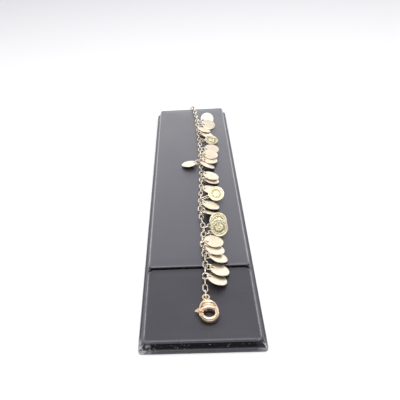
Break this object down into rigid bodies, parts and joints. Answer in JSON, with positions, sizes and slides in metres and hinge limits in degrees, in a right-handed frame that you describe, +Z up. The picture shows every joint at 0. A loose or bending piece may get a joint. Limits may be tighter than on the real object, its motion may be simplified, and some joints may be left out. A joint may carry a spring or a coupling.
{
  "type": "charm anklet on padded display stand",
  "caption": "Gold-tone cable-chain anklet hung with plain discs and relief coins, laid open with its lobster clasp along a long padded display stand.",
  "frame": {"origin": "middle of the stand's underside, on the surface it stands on", "axes": "+X across the stand towards the side most charms hang on, +Y along the stand from the clasp end to the far end, +Z up"},
  "size_m": [0.0528, 0.2328, 0.0161],
  "materials": {
    "gold": "polished gold plating",
    "pale_gold": "satin pale champagne gold",
    "coin_gold": "cast relief, greenish yellow gold",
    "leatherette": "fine-grained dark grey leatherette over padding"
  },
  "bodies": {
    "display": {"stand_base": "leatherette", "pad_lower": "leatherette", "pad_upper": "leatherette", "disc_01": "pale_gold", "disc_02": "pale_gold", "disc_03": "pale_gold", "disc_04": "pale_gold", "disc_05": "pale_gold", "coin_01": "coin_gold", "coin_02": "coin_gold", "disc_06": "pale_gold", "disc_07": "pale_gold", "coin_03": "coin_gold", "disc_08": "pale_gold", "disc_09": "pale_gold", "disc_10": "pale_gold", "disc_11": "pale_gold", "disc_12": "pale_gold", "disc_13": "pale_gold", "disc_14": "pale_gold", "disc_15": "pale_gold", "coin_04": "coin_gold", "disc_16": "pale_gold", "disc_17": "pale_gold", "disc_18": "pale_gold", "disc_19": "pale_gold", "chain_near": "gold", "chain_far": "gold", "end_ring": "gold", "clasp_body": "gold"},
    "lever": {"clasp_lever": "gold"}
  },
  "joints": [
    {"name": "clasp_lever_hinge", "type": "hinge", "parent": "display", "child": "lever", "pos_m": [0.0008, -0.09631, 0.00782], "axis": [0, -0.0209, 0.9998], "range_deg": [0, 24], "stiffness_Nm_per_rad": 0.0004}
  ]
}
